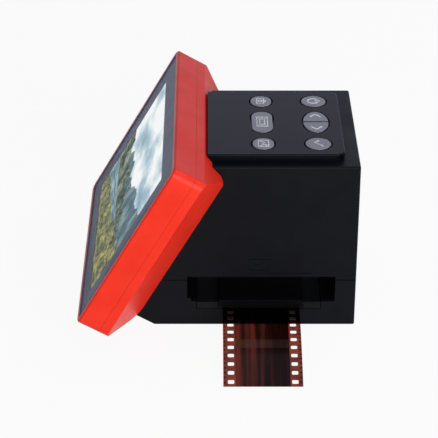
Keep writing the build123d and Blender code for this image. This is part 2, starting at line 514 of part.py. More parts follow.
# ---- film tray ----------------------------------------------------------------------------
tray_x0 = -HW + WALL + TRAY_BACK
tray = span(tray_x0, HW, tray_y0, tray_y1, TRAY_Z0, TRAY_Z1)
pocket_half = INSERT_W / 2 + 0.3
tray -= span(tray_x0 - 1, HW + 1, FILM_Y - pocket_half, FILM_Y + pocket_half,
             TRAY_Z0 + TRAY_FLOOR, TRAY_Z1 + 1)
tray -= block(0, FILM_Y, 0, TRAY_Z1, GATE_LX + 4, GATE_LY + 4)
save("film_tray", tray)

# ---- film insert --------------------------------------------------------------------------
insert_x0, insert_x1 = tray_x0 + 1.0, HW + INSERT_OUT
cover_z0 = CHANNEL_Z0 + CHANNEL_H
split_z = cover_z0 + 1.7
tub = span(insert_x0, insert_x1, FILM_Y - INSERT_W / 2, FILM_Y + INSERT_W / 2, INSERT_Z0, split_z)
tub -= span(insert_x0 - 1, insert_x1 + 1, FILM_Y - INSERT_W / 2 + INSERT_SIDE,
            FILM_Y + INSERT_W / 2 - INSERT_SIDE, CHANNEL_Z0, split_z + 1)
tub -= block(0, FILM_Y, 0, split_z, GATE_LX, GATE_LY)
save("insert_base", tub)
lid = span(insert_x0, insert_x1, FILM_Y - INSERT_W / 2, FILM_Y + INSERT_W / 2,
           split_z + FIT, INSERT_Z1)
lid = chamfer([e for e in lid.edges().filter_by(Axis.Y) if e.center().Z > INSERT_Z1 - 0.01], 0.5)
plug_half = INSERT_W / 2 - INSERT_SIDE - FIT
lid += span(insert_x0, insert_x1, FILM_Y - plug_half, FILM_Y + plug_half, cover_z0,
            split_z + FIT + 0.5)
well = block(0, FILM_Y, cover_z0 - 1, INSERT_Z1 + 1, GATE_LX, GATE_LY)
lid -= well
lid = chamfer([e for e in lid.edges() if abs(e.center().Z - INSERT_Z1) < 0.01
               and abs(e.center().X) < GATE_LX / 2 + 0.5
               and abs(e.center().Y - FILM_Y) < GATE_LY / 2 + 0.5], 1.5)
save("insert_cover", lid)

# ---- film strip ---------------------------------------------------------------------------
# A flat run inside the insert, then two tangent arcs that droop to the table.
film_len = FILM_FRAMES * FRAME_PITCH
bend_x = insert_x1 + 0.4
flat_len = film_len - FILM_OUT
film_x0 = bend_x - flat_len
r1 = BEND1_L / radians(BEND1_DEG)
bend2_l = FILM_OUT - BEND1_L
r2 = bend2_l / radians(BEND2_DEG)
c1 = (bend_x, FILM_Z - r1)
mid = (bend_x + r1 * sin(radians(BEND1_DEG)), c1[1] + r1 * cos(radians(BEND1_DEG)))
c2 = (mid[0] - r2 * sin(radians(BEND1_DEG)), mid[1] - r2 * cos(radians(BEND1_DEG)))


def film_at(a):
    """Place, on the film's middle plane, at length a from its inner end, and its slope."""
    if a <= flat_len:
        return film_x0 + a, FILM_Z, 0.0
    a -= flat_len
    if a <= BEND1_L:
        g = a / r1
        return c1[0] + r1 * sin(g), c1[1] + r1 * cos(g), degrees(g)
    g = radians(BEND1_DEG) + (a - BEND1_L) / r2
    return c2[0] + r2 * sin(g), c2[1] + r2 * cos(g), degrees(g)


def arc_piece(c, r, deg0, deg1):
    """A bent piece of film about the point c, from slope deg0 to deg1."""
    def at(rad, deg):
        return c[0] + rad * sin(radians(deg)), c[1] + rad * cos(radians(deg))
    ri, ro, m = r - FILM_T / 2, r + FILM_T / 2, (deg0 + deg1) / 2
    edge = [ThreePointArc(at(ro, deg0), at(ro, m), at(ro, deg1)), Line(at(ro, deg1), at(ri, deg1)),
            ThreePointArc(at(ri, deg1), at(ri, m), at(ri, deg0)), Line(at(ri, deg0), at(ro, deg0))]
    return Plane.XZ * make_face(Wire(edge))


profile = Plane.XZ * (Pos(film_x0 + flat_len / 2, FILM_Z) * Rectangle(flat_len, FILM_T))
profile += arc_piece(c1, r1, 0, BEND1_DEG)
profile += arc_piece(c2, r2, BEND1_DEG, BEND1_DEG + BEND2_DEG)
film = Pos(0, FILM_Y, 0) * extrude(profile, FILM_W / 2, both=True)
holes = []
perf_count = int(film_len / PERF_PITCH)
for i in range(perf_count):
    px, pz, slope = film_at(PERF_PITCH * (i + 0.5))
    for row in (-1, 1):
        hole = Box(PERF_LX, PERF_LY, 3 * FILM_T + 1)
        hole = fillet(hole.edges().filter_by(Axis.Z), 0.5)
        holes.append(Pos(px, FILM_Y + row * PERF_ROW / 2, pz) * (Rot(0, slope, 0) * hole))
film -= holes
save("film_strip", film)
print("film end z", round(film_at(film_len)[1], 2), "x", round(film_at(film_len)[0], 2))

# ---- lamp under the film ------------------------------------------------------------------
lamp_z1 = rail_z0 + LINER_T - LAMP_GAP + 0.3
lamp = block(0, FILM_Y, FLOOR_T + FIT, lamp_z1, LAMP_LX, LAMP_LY)
board_z0 = FLOOR_T + FIT
lamp_in_x, lamp_in_y = LAMP_LX - 2 * LAMP_WALL, LAMP_LY - 2 * LAMP_WALL
diffuser_z0 = lamp_z1 - DIFFUSER_T
lamp -= block(0, FILM_Y, board_z0 + BOARD_T, diffuser_z0, lamp_in_x - 2, lamp_in_y - 2)
lamp -= block(0, FILM_Y, diffuser_z0, lamp_z1 + 1, lamp_in_x, lamp_in_y)
lamp -= block(0, FILM_Y, 0, board_z0 + BOARD_T, lamp_in_x, lamp_in_y)
save("lamp_box", lamp)
save("lamp_board", block(0, FILM_Y, board_z0, board_z0 + BOARD_T - FIT, lamp_in_x - 2 * FIT,
                         lamp_in_y - 2 * FIT))
led_z = board_z0 + BOARD_T - FIT
save("lamp_leds", many(block(x, FILM_Y + y, led_z, led_z + 0.8, 3.5, 2.8)
                       for x in (-LED_FAR_X, -LED_NEAR_X, LED_NEAR_X, LED_FAR_X)
                       for y in (-LED_ROW_Y, 0, LED_ROW_Y)))
save("diffuser", block(0, FILM_Y, diffuser_z0 + 0.05, lamp_z1, lamp_in_x - 2 * FIT,
                       lamp_in_y - 2 * FIT))

# ---- camera over the film -----------------------------------------------------------------
hood_z0 = SLOT_Z0 + SLOT_H + LINER_T + FIT
hood = block(0, FILM_Y, hood_z0, HOOD_TOP, HOOD_LX, HOOD_LY)
hood += block(0, FILM_Y, HOOD_TOP - 1, TOWER_TOP, TOWER_L, TOWER_L)
hood -= block(0, FILM_Y, 0, HOOD_TOP - HOOD_WALL, HOOD_LX - 2 * HOOD_WALL, HOOD_LY - 2 * HOOD_WALL)
tower_in = TOWER_L - 2 * HOOD_WALL
hood -= block(0, FILM_Y, 0, HOOD_TOP + 4, tower_in, tower_in)
hood -= block(0, FILM_Y, HOOD_TOP + 6, TOWER_TOP + 1, tower_in, tower_in)
hood -= rod(0, FILM_Y, 0, TOWER_TOP, BARREL_R + 0.05)
pad_x, pad_screw_x = HOOD_LX / 2 + HOOD_PAD / 2 - 0.5, HOOD_LX / 2 + HOOD_PAD / 2 + 0.5
hood += [block(x, FILM_Y, hood_z0, hood_z0 + 2.0, HOOD_PAD, HOOD_PAD) for x in (-pad_x, pad_x)]
pad_at = [(-pad_screw_x, FILM_Y), (pad_screw_x, FILM_Y)]
hood -= [rod(x, y, 0, hood_z0 + 3, SCREW_R + 0.2) for x, y in pad_at]
save("camera_hood", hood)
save("camera_screws", many(rod(x, y, hood_z0 + 2.0 + 0.05, hood_z0 + 3.4, HEAD_R)
                           + rod(x, y, hood_z0 - 0.05, hood_z0 + 2.3, SCREW_R) for x, y in pad_at))
barrel_z0 = HOOD_TOP + 5 - BARREL_H / 2
barrel = rod(0, FILM_Y, barrel_z0, barrel_z0 + BARREL_H, BARREL_R)
barrel += rod(0, FILM_Y, HOOD_TOP + 6 + 0.05, HOOD_TOP + 7.5, BARREL_R + 2)
barrel -= rod(0, FILM_Y, barrel_z0 - 1, barrel_z0 + BARREL_H + 1, LENS_R - 1.2)
barrel -= rod(0, FILM_Y, barrel_z0 - 1, barrel_z0 + 4.0, LENS_R + 0.05)
barrel -= rod(0, FILM_Y, barrel_z0 + BARREL_H - 3.5, barrel_z0 + BARREL_H + 1, LENS_R + 0.05)
save("lens_barrel", barrel)


def lens(z0, thick, crown):
    """A biconvex glass disc, crowned on both faces."""
    disc = rod(0, FILM_Y, z0, z0 + thick, LENS_R)
    ball_r = (LENS_R ** 2 + crown ** 2) / (2 * crown)
    low = Pos(0, FILM_Y, z0 + ball_r) * Sphere(ball_r)
    high = Pos(0, FILM_Y, z0 + thick - ball_r) * Sphere(ball_r)
    return disc & low & high


save("lens_front", lens(barrel_z0 + 1.0, 2.9, 0.9))
save("lens_rear", lens(barrel_z0 + BARREL_H - 3.4, 2.4, 0.7))
ring = rod(0, FILM_Y, barrel_z0 + 0.05, barrel_z0 + 0.9, LENS_R) - rod(0, FILM_Y, 0, 90, LENS_R - 1.3)
save("lens_ring", ring)
sensor_z = TOWER_TOP + FIT
save("sensor_board", block(0, FILM_Y, sensor_z, sensor_z + BOARD_T, TOWER_L, TOWER_L))
save("image_sensor", block(0, FILM_Y, sensor_z - FIT - 1.0, sensor_z, SENSOR_L, SENSOR_L))

# ---- main board and its sockets -----------------------------------------------------------
main = span(-MAIN_HALF_W, MAIN_HALF_W, board_y0, board_y1, MAIN_Z, main_top - 0.05)
for x in (-board_post_x, board_post_x):
    for y in board_post_y:
        main -= rod(x, y, MAIN_Z - 1, main_top + 1, SCREW_R)
save("main_board", main)
save("board_screws", many(rod(x, y, MAIN_Z - 1.2, MAIN_Z - 0.05, 2.0)
                          + rod(x, y, MAIN_Z - 0.2, main_top + 5, 0.75)
                          for x in (-board_post_x, board_post_x) for y in board_post_y))
save("main_processor", block(PROCESSOR_X, PROCESSOR_Y, main_top, main_top + 1.2,
                             PROCESSOR_L, PROCESSOR_L))
sock_y1 = HD - 0.4
card = span(CARD_X - CARD_LX / 2, CARD_X + CARD_LX / 2, sock_y1 - CARD_LY, sock_y1, main_top,
            main_top + CARD_LZ)
card -= span(CARD_X - 12.3, CARD_X + 12.3, sock_y1 - CARD_LY + 2, sock_y1 + 1, main_top + 0.4,
             main_top + 2.6)
save("card_socket", card)
usb = span(USB_X - USB_LX / 2, USB_X + USB_LX / 2, sock_y1 - USB_LY, sock_y1, main_top,
           main_top + USB_LZ)
usb = fillet(usb.edges().filter_by(Axis.Y), 1.2)
usb -= span(USB_X - 4.1, USB_X + 4.1, sock_y1 - USB_LY + 1, sock_y1 + 1, main_top + 0.4,
            main_top + USB_LZ - 0.4)
usb += span(USB_X - 3.2, USB_X + 3.2, sock_y1 - USB_LY, sock_y1 - 1, main_top + 1.25, main_top + 1.95)
save("usb_socket", usb)
video = span(VIDEO_X - VIDEO_LX / 2, VIDEO_X + VIDEO_LX / 2, sock_y1 - VIDEO_LY, sock_y1, main_top,
             main_top + VIDEO_LZ)
video = chamfer([e for e in video.edges().filter_by(Axis.Y) if e.center().Z < main_top + 0.1], 1.0)
video -= span(VIDEO_X - 4.9, VIDEO_X + 4.9, sock_y1 - VIDEO_LY + 1, sock_y1 + 1, main_top + 1.1,
              main_top + VIDEO_LZ - 0.5)
video += span(VIDEO_X - 3.8, VIDEO_X + 3.8, sock_y1 - VIDEO_LY, sock_y1 - 1, main_top + 1.8,
              main_top + 2.4)
save("video_socket", video)

# flat ribbon from the display, through both shells, up to a connector under the main board
conn_y, conn_z = board_y0 + 2.2, MAIN_Z - 2.0
save("ribbon_socket", block(0, conn_y, conn_z, MAIN_Z - 0.05, RIBBON_W + 4, 4.0))
path = [in_side(sheet_t0 + TRAY_SHEET + 0.6, RIBBON_S), in_side(REAR_T + 6.0, RIBBON_S),
        (conn_y, in_side(REAR_T + 6.0, RIBBON_S)[1] + 1.5), (conn_y, conn_z - 0.05)]
ribbon_line = FilletPolyline(*path, radius=1.8)
ribbon = extrude(Plane.YZ * trace(ribbon_line, RIBBON_T), RIBBON_W / 2, both=True)
save("display_ribbon", ribbon)
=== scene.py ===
from math import cos, pi, radians, sin

import bmesh
import bpy
from mathutils import Matrix, Vector


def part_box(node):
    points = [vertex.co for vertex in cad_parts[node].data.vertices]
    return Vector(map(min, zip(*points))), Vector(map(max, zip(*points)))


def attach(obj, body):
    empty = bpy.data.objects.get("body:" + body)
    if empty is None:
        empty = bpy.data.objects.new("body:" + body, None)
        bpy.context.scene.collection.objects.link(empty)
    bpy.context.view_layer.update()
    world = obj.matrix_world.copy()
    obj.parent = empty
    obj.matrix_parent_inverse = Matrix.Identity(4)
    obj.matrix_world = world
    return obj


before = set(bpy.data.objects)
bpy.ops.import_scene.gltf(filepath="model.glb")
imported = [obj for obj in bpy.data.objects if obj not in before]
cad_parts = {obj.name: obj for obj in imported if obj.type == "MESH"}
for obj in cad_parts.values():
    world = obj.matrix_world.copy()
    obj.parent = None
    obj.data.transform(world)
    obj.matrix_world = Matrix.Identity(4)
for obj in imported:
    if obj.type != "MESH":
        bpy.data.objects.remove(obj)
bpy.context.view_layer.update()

# ---- Black body ---------------------------------------------------------------------------
# The body is two injection-moulded ABS shells, screwed together from below. They meet in a
# thin line near the top of the film slot. The mould leaves a fine spark-eroded grain on them,
# which gives the satin look.
MM = 0.001    # the scene is in metres


def surface_of(look):
    return look.node_tree.nodes["Principled BSDF"]


def surface(name, colour, **sockets):
    """A node material whose surface starts from this colour and these values."""
    look = bpy.data.materials.new(name)
    look.use_nodes = True
    look.diffuse_color = (*colour, 1)
    surface_of(look).inputs["Base Color"].default_value = (*colour, 1)
    for socket, value in sockets.items():
        surface_of(look).inputs[socket.replace("_", " ")].default_value = value
    return look


def add(look, kind, **settings):
    """One more node in a material or the world, with its settings."""
    node = look.node_tree.nodes.new("ShaderNode" + kind)
    for setting, value in settings.items():
        setattr(node, setting, value)
    return node


def wire(look, out, into):
    look.node_tree.links.new(out, into)


def noise(look, size, detail=3.0, stretch=(1, 1, 1)):
    """Grey noise with patches about this many millimetres across, longer where stretched."""
    mapping = add(look, "Mapping")
    mapping.inputs["Scale"].default_value = [1 / (size * MM) / s for s in stretch]
    tex = add(look, "TexNoise")
    tex.inputs["Scale"].default_value = 1.0
    tex.inputs["Detail"].default_value = detail
    wire(look, add(look, "TexCoord").outputs["Object"], mapping.inputs["Vector"])
    wire(look, mapping.outputs["Vector"], tex.inputs["Vector"])
    return tex.outputs["Fac"]


def tones(look, grey, stops):
    """Colours along a grey value: (place, colour) pairs."""
    ramp = add(look, "ValToRGB")
    while len(ramp.color_ramp.elements) < len(stops):
        ramp.color_ramp.elements.new(0.5)
    for element, (place, colour) in zip(ramp.color_ramp.elements, stops):
        element.position = place
        element.color = (*colour, 1)
    wire(look, grey, ramp.inputs["Fac"])
    return ramp.outputs["Color"]


def blotch(look, size, dark, light, stretch=(1, 1, 1)):
    """The colour wanders between these two in patches of this size."""
    wandering = tones(look, noise(look, size, stretch=stretch), [(0.35, dark), (0.65, light)])
    wire(look, wandering, surface_of(look).inputs["Base Color"])


def handled(look, size, low, high):
    """The gloss wanders between these roughnesses, as on a surface that gets touched."""
    span = add(look, "MapRange")
    span.inputs["From Min"].default_value = 0.3
    span.inputs["From Max"].default_value = 0.7
    span.inputs["To Min"].default_value = low
    span.inputs["To Max"].default_value = high
    wire(look, noise(look, size, detail=4.0), span.inputs["Value"])
    wire(look, span.outputs["Result"], surface_of(look).inputs["Roughness"])


def grain(look, size, depth, stretch=(1, 1, 1)):
    """Raised grain of this patch size, depth millimetres deep."""
    bump = add(look, "Bump")
    bump.inputs["Strength"].default_value = 1.0
    bump.inputs["Distance"].default_value = depth * MM
    wire(look, noise(look, size, 2.0, stretch), bump.inputs["Height"])
    wire(look, bump.outputs["Normal"], surface_of(look).inputs["Normal"])


def dress(look, *nodes):
    """The nodes take this material in place of their plain one."""
    for name in nodes:
        for material_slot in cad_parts[name].material_slots:
            material_slot.material = look


body_black = surface("body_black", (0.0034, 0.0037, 0.0056), Roughness=0.42, Specular_IOR_Level=0.08)
blotch(body_black, size=9.0, dark=(0.0028, 0.0030, 0.0048), light=(0.0038, 0.0042, 0.0064))
handled(body_black, size=14.0, low=0.38, high=0.50)
grain(body_black, size=0.34, depth=0.010)
dress(body_black, "base_shell", "upper_shell")

# ---- Base screws and feet -----------------------------------------------------------------
# Four zinc-plated pan-head screws sit in counterbores in the floor, and hold the upper shell.
# The screws inside are of the same steel. Four pressed rubber discs are glued into shallow
# recesses near the floor's front and rear edges.
screw_steel = surface("screw_steel", (0.55, 0.56, 0.58), Roughness=0.32, Metallic=1.0)
blotch(screw_steel, size=1.2, dark=(0.42, 0.43, 0.45), light=(0.62, 0.62, 0.63))
grain(screw_steel, size=0.25, depth=0.006)
dress(screw_steel, "base_screws", "board_screws", "camera_screws", "display_screws",
      "housing_screws", "key_board_screws")

foot_rubber = surface("foot_rubber", (0.018, 0.018, 0.019), Roughness=0.75)
blotch(foot_rubber, size=1.5, dark=(0.014, 0.014, 0.015), light=(0.030, 0.030, 0.031))
grain(foot_rubber, size=0.5, depth=0.03)
dress(foot_rubber, "feet")

# ---- Film tunnel, tray rails, camera hood and lamp ----------------------------------------
# Matt black moulded parts line the slot, carry the tray and hold the lenses, so that no light
# strays on to the film or the camera. A white box with LEDs under a milky diffuser lights the
# picture from below.
tunnel_black = surface("tunnel_black", (0.0012, 0.0012, 0.0015), Roughness=0.65,
                       Specular_IOR_Level=0.05)
blotch(tunnel_black, size=6.0, dark=(0.0009, 0.0009, 0.0012), light=(0.0016, 0.0016, 0.0019))
grain(tunnel_black, size=0.4, depth=0.015)
dress(tunnel_black, "film_tunnel", "tray_rail_front", "tray_rail_rear", "camera_hood",
      "lens_barrel", "lens_ring")

lamp_white = surface("lamp_white", (0.78, 0.78, 0.76), Roughness=0.5)
blotch(lamp_white, size=5.0, dark=(0.72, 0.72, 0.70), light=(0.82, 0.82, 0.80))
grain(lamp_white, size=0.5, depth=0.01)
dress(lamp_white, "lamp_box", "diffuser")

led_yellow = surface("led_yellow", (0.80, 0.62, 0.10), Roughness=0.3)
blotch(led_yellow, size=1.0, dark=(0.72, 0.52, 0.06), light=(0.86, 0.74, 0.24))
dress(led_yellow, "lamp_leds")

# ---- Lenses, boards and chips -------------------------------------------------------------
# The boards are glass-fibre laminate under green lacquer, with copper tracks that show as
# lighter lines. The chips, the switches and the ribbon's socket are moulded epoxy or nylon.
# The lenses are coated glass.
TRACK_PITCH = 5 * MM
TRACK_WIDTH = 0.03    # as a share of the pitch
board_green = surface("board_green", (0.012, 0.10, 0.045), Roughness=0.32)
tracks = add(board_green, "TexBrick")
tracks.inputs["Color1"].default_value = (0.010, 0.085, 0.040, 1)
tracks.inputs["Color2"].default_value = (0.014, 0.110, 0.050, 1)
tracks.inputs["Mortar"].default_value = (0.030, 0.220, 0.090, 1)
tracks.inputs["Scale"].default_value = 1 / TRACK_PITCH
tracks.inputs["Mortar Size"].default_value = TRACK_WIDTH
wire(board_green, add(board_green, "TexCoord").outputs["Object"], tracks.inputs["Vector"])
wire(board_green, tracks.outputs["Color"], surface_of(board_green).inputs["Base Color"])
grain(board_green, size=0.7, depth=0.01)
dress(board_green, "main_board", "key_board", "sensor_board", "lamp_board")

chip_black = surface("chip_black", (0.02, 0.02, 0.022), Roughness=0.55)
blotch(chip_black, size=2.0, dark=(0.016, 0.016, 0.018), light=(0.030, 0.030, 0.032))
grain(chip_black, size=0.3, depth=0.01)
dress(chip_black, "main_processor", "image_sensor", "ribbon_socket", "key_switches")

lens_glass = surface("lens_glass", (0.93, 0.95, 1.0), Roughness=0.03, Transmission_Weight=1.0, IOR=1.52)
handled(lens_glass, size=3.0, low=0.02, high=0.06)
dress(lens_glass, "lens_front", "lens_rear")

# ---- Rear sockets -------------------------------------------------------------------------
# The card, power and video sockets are folded from tinned steel strip and soldered to the
# main board. Their mouths end just short of the rear wall's outer face.
socket_tin = surface("socket_tin", (0.60, 0.60, 0.59), Roughness=0.28, Metallic=1.0)
blotch(socket_tin, size=2.5, dark=(0.48, 0.48, 0.48), light=(0.66, 0.66, 0.65), stretch=(3, 1, 1))
handled(socket_tin, size=3.0, low=0.22, high=0.40)
dress(socket_tin, "card_socket", "usb_socket", "video_socket")

# ---- Control plate ------------------------------------------------------------------------
# The plate round the keys is moulded from glossier dark ABS than the body, and lies on the
# body's top. The key board hangs from it on two screw posts.
plate_grey = surface("plate_grey", (0.0020, 0.0024, 0.0050), Roughness=0.24, Specular_IOR_Level=0.08)
blotch(plate_grey, size=8.0, dark=(0.0016, 0.0020, 0.0044), light=(0.0024, 0.0028, 0.0058))
handled(plate_grey, size=10.0, low=0.19, high=0.28)
grain(plate_grey, size=0.5, depth=0.003)
dress(plate_grey, "control_plate")

# ---- Keys ---------------------------------------------------------------------------------
# The keys' tops are grey metallic lacquer, whose flakes glitter. Below a line just under the top,
# each key's sides are painted near-black: painted shade for the dark ring round the key. White
# marks are printed on the tops, to be read from the screen's side.
SHADE_LINE_DOWN = 0.35 * MM    # how far down a key's side the grey top reaches; painted shade below it
PRINT_FLAT = 0.3          # a printed line's height as a share of its width


def reckon(look, operation, *values):
    """Arithmetic on node outputs or plain numbers."""
    node = add(look, "Math", operation=operation)
    for socket, value in zip(node.inputs, values):
        if isinstance(value, (int, float)):
            socket.default_value = value
        else:
            wire(look, value, socket)
    return node.outputs["Value"]


def where(look):
    """The place on a piece: its X, Y and Z."""
    parts = add(look, "SeparateXYZ")
    wire(look, add(look, "TexCoord").outputs["Object"], parts.inputs["Vector"])
    return parts.outputs


def lay(look, under, over, cover):
    """One colour laid over another where cover is 1."""
    mix = add(look, "Mix", data_type="RGBA")
    sockets = {socket.identifier: socket for socket in mix.inputs}
    wire(look, cover, sockets["Factor_Float"])
    wire(look, under, sockets["A_Color"])
    if isinstance(over, tuple):
        sockets["B_Color"].default_value = (*over, 1)
    else:
        wire(look, over, sockets["B_Color"])
    return {socket.identifier: socket for socket in mix.outputs}["Result_Color"]


key_grey = surface("key_grey", (0.19, 0.196, 0.215), Roughness=0.36, Metallic=0.30)
lacquer = tones(key_grey, noise(key_grey, 0.55, detail=2.0), [
    (0.30, (0.115, 0.118, 0.130)), (0.51, (0.195, 0.200, 0.220)), (0.72, (0.36, 0.37, 0.40))])
# Painted shade: the lower sides of each key are near-black, for the dark ring round it.
painted_side_shade = tones(key_grey, noise(key_grey, 1.5), [
    (0.4, (0.004, 0.004, 0.005)), (0.6, (0.007, 0.007, 0.008))])
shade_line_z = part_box("key_ok")[1][2] - SHADE_LINE_DOWN
above_shade_line = reckon(key_grey, "GREATER_THAN", where(key_grey)["Z"], shade_line_z)
wire(key_grey, lay(key_grey, painted_side_shade, lacquer, above_shade_line), surface_of(key_grey).inputs["Base Color"])
grain(key_grey, size=0.45, depth=0.02)
dress(key_grey, "key_camera", "key_capture", "key_gallery", "key_power", "key_ok", "key_up",
      "key_down")

print_white = surface("print_white", (0.90, 0.91, 0.94), Roughness=0.45)
blotch(print_white, size=0.8, dark=(0.84, 0.85, 0.88), light=(0.94, 0.95, 0.98))


def ring(x, y, radius, start=0, part=1.0, steps=24):
    """Points round a circle, or round part of it."""
    count = int(steps * part)
    turns = [start + 2 * pi * part * i / count for i in range(count + (part < 1))]
    return [(x + radius * cos(turn), y + radius * sin(turn)) for turn in turns]


def oblong(x, y, lx, ly):
    """The corners of an upright oblong."""
    return [(x - lx / 2, y - ly / 2), (x + lx / 2, y - ly / 2), (x + lx / 2, y + ly / 2),
            (x - lx / 2, y + ly / 2)]


def mark(key, lines, width):
    """Thin white lines, in millimetres from the key's middle, printed on its top."""
    curve = bpy.data.curves.new(key + "_mark", "CURVE")
    curve.dimensions = "3D"
    curve.bevel_depth = width / 2 * MM
    curve.bevel_resolution = 2
    curve.use_fill_caps = True
    for points, closed in lines:
        spline = curve.splines.new("POLY")
        spline.points.add(len(points) - 1)
        for point, (x, y) in zip(spline.points, points):
            point.co = (x * MM, y * MM, 0, 1)
        spline.use_cyclic_u = closed
    drawn = bpy.data.objects.new(key + "_mark", curve)
    bpy.context.scene.collection.objects.link(drawn)
    finished = drawn.evaluated_get(bpy.context.evaluated_depsgraph_get())
    mesh = bpy.data.meshes.new_from_object(finished)
    bpy.data.objects.remove(drawn)
    low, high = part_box(key)
    middle = Vector(((low[0] + high[0]) / 2, (low[1] + high[1]) / 2, high[2]))
    mesh.transform(Matrix.Translation(middle) @ Matrix.Diagonal((1, 1, PRINT_FLAT, 1)))
    mesh.materials.clear()
    mesh.materials.append(print_white)
    piece = bpy.data.objects.new(key + "_mark", mesh)
    bpy.context.scene.collection.objects.link(piece)
    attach(piece, key)


mark("key_camera", [(oblong(0, -0.4, 5.2, 3.2), True), (ring(0, -0.4, 0.95), True),
                    ([(-1.2, 1.2), (-0.7, 2.0), (0.7, 2.0), (1.2, 1.2)], False)], width=0.65)
mark("key_gallery", [(oblong(0, 0, 6.2, 4.6), True),
                     ([(-2.3, -1.4), (-0.8, 0.7), (0.2, -0.5), (1.1, 0.3), (2.3, -1.4)], False),
                     (ring(1.6, 1.2, 0.32, steps=12), True)], width=0.7)
film_holes = [([(x - 0.3, y), (x + 0.3, y)], False) for x in (-3.6, 3.6) for y in (-1.4, 0, 1.4)]
mark("key_capture", [(oblong(0, 0, 9.6, 4.8), True), (oblong(0, 0, 5.0, 2.2), True)] + film_holes,
     width=0.7)
mark("key_power", [(ring(0, -0.2, 2.5, start=radians(90 + 35), part=290 / 360), False),
                   ([(0, 0.6), (0, 3.0)], False)], width=0.8)
mark("key_ok", [([(-2.6, 0.2), (-0.8, -1.8), (2.7, 2.1)], False)], width=0.95)
mark("key_up", [([(1.1, -2.4), (-1.6, 0), (1.1, 2.4)], False)], width=0.9)
mark("key_down", [([(-1.1, -2.4), (1.6, 0), (-1.1, 2.4)], False)], width=0.9)

# ---- Screen housing -----------------------------------------------------------------------
# The housing is two red moulded halves, a front with a bevelled rim round the glass and a
# tapered back that is screwed to the body's slanted front. It is semi-gloss, with the faint
# ripple of moulded plastic.
housing_red = surface("housing_red", (0.88, 0.034, 0.015), Roughness=0.36, Specular_IOR_Level=0.15)
blotch(housing_red, size=16.0, dark=(0.85, 0.030, 0.012), light=(0.91, 0.038, 0.018))
handled(housing_red, size=12.0, low=0.30, high=0.42)
grain(housing_red, size=0.6, depth=0.004)
dress(housing_red, "screen_bezel", "screen_back")

# ---- Display ------------------------------------------------------------------------------
# A colour LCD panel stands behind the glass, held by a stamped metal sheet, and a flat amber
# ribbon joins it to the main board. The panel shows a landscape: clouds, blue ridges, a lake
# and a meadow.
LEAN = radians(30)              # of the screen from upright
FACE_Y = -57.9                  # the middle of the screen's face, in millimetres
FACE_Z = 53.8
PICTURE_UP = -1.5               # the picture's middle, up the face from there, in millimetres
PICTURE_HALF_X = 50.75 * MM
PICTURE_HALF_UP = 32.85 * MM
HILL_EDGE = 0.4 * MM            # how soft the line of the hills is
CLOUD_LIGHT = 4.5               # how much lighter the sky gets for each metre up
display_lit = surface("display_lit", (0.004, 0.004, 0.005), Roughness=0.5, Specular_IOR_Level=0.02)
picture_at = (0.0, FACE_Y + PICTURE_UP * sin(LEAN), FACE_Z + PICTURE_UP * cos(LEAN))
to_middle = Vector([-v * MM for v in picture_at])
upright = add(display_lit, "Mapping")
upright.inputs["Rotation"].default_value = (LEAN, 0, 0)
upright.inputs["Location"].default_value = Matrix.Rotation(LEAN, 4, "X") @ to_middle
sides = add(display_lit, "SeparateXYZ")
wire(display_lit, add(display_lit, "TexCoord").outputs["Object"], upright.inputs["Vector"])
wire(display_lit, upright.outputs["Vector"], sides.inputs["Vector"])
across = sides.outputs["X"]
up = sides.outputs["Z"]


def view_noise(size, detail=4.0, flatten=1.0, seed=0.0, only_across=False, rough=0.5):
    """Noise in the picture's own plane."""
    joined = add(display_lit, "CombineXYZ")
    joined.inputs["Y"].default_value = seed
    wire(display_lit, reckon(display_lit, "MULTIPLY", across, 1 / (size * MM)), joined.inputs["X"])
    if not only_across:
        height = reckon(display_lit, "MULTIPLY", up, flatten / (size * MM))
        wire(display_lit, height, joined.inputs["Z"])
    tex = add(display_lit, "TexNoise")
    tex.inputs["Scale"].default_value = 1.0
    tex.inputs["Detail"].default_value = detail
    tex.inputs["Roughness"].default_value = rough
    wire(display_lit, joined.outputs["Vector"], tex.inputs["Vector"])
    return tex.outputs["Fac"]


def hills(under, over, base, size, rise, seed, detail=4.0, slope=0.0):
    """The picture with hills laid over it, whose line wanders about the height base."""
    peaks = view_noise(size, detail, seed=seed, only_across=True)
    line = reckon(display_lit, "MULTIPLY_ADD", peaks, rise * MM, (base - rise / 2) * MM)
    line = reckon(display_lit, "MULTIPLY_ADD", across, slope, line)
    depth = reckon(display_lit, "SUBTRACT", line, up)
    depth = reckon(display_lit, "MULTIPLY_ADD", depth, 1 / HILL_EDGE, 0.5)
    cover = add(display_lit, "Clamp")
    wire(display_lit, depth, cover.inputs["Value"])
    return lay(display_lit, under, over, cover.outputs["Result"])


def layered(broad, share, fine):
    """Broad patches, at this share, over fine ones."""
    return reckon(display_lit, "MULTIPLY_ADD", broad, share, fine)


clouds = reckon(display_lit, "MULTIPLY_ADD", up, CLOUD_LIGHT,
                view_noise(30.0, detail=5.0, flatten=2.2, seed=0.7))
picture = tones(display_lit, clouds, [
    (0.36, (0.24, 0.38, 0.49)), (0.46, (0.40, 0.56, 0.64)), (0.54, (0.66, 0.76, 0.81)),
    (0.62, (0.95, 0.97, 0.98))])
far_range = tones(display_lit, view_noise(7.0, detail=6.0, flatten=0.5, seed=3.0, rough=0.65), [
    (0.38, (0.030, 0.075, 0.10)), (0.50, (0.085, 0.17, 0.20)), (0.62, (0.22, 0.32, 0.36))])
picture = hills(picture, far_range, base=4.0, size=22.0, rise=30.0, seed=5.3, detail=2.5, slope=0.10)
slopes = layered(view_noise(11.0, detail=3.0, seed=1.3), share=0.7,
                 fine=view_noise(2.6, detail=6.0, seed=8.0, rough=0.65))
near_range = tones(display_lit, slopes, [
    (0.70, (0.002, 0.006, 0.006)), (0.82, (0.050, 0.10, 0.080)), (0.96, (0.30, 0.34, 0.21))])
picture = hills(picture, near_range, base=-4.0, size=17.0, rise=26.0, seed=9.1, slope=-0.14)
